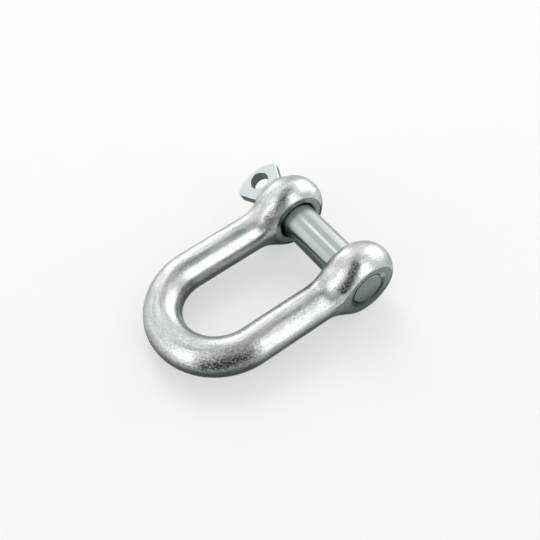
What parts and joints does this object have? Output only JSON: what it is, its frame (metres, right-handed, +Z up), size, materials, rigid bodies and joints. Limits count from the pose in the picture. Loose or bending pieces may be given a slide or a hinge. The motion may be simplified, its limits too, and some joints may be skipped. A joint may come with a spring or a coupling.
{
  "type": "chain joining shackle",
  "caption": "Dee shackle of plated round bar with two bulbous eyes, closed by a screw pin with a flat eye head, for joining chain, rope or slings.",
  "frame": {"origin": "on the pin's axis, midway between the two eyes", "axes": "+X along the pin towards its threaded tip, -Y towards the crown, +Z up from the surface it lies on"},
  "size_m": [0.0517, 0.0617, 0.0204],
  "materials": {
    "plated_forging": "bright zinc plated over a forged surface, faintly mottled",
    "plated_pin": "bright zinc plated, smooth"
  },
  "bodies": {
    "bow": {"shackle_body": "plated_forging"},
    "pin": {"screw_pin": "plated_pin"}
  },
  "joints": [
    {"name": "pin_withdraw", "type": "slide", "parent": "bow", "child": "pin", "axis": [-1, 0, 0], "range_m": [0, 0.06]}
  ]
}
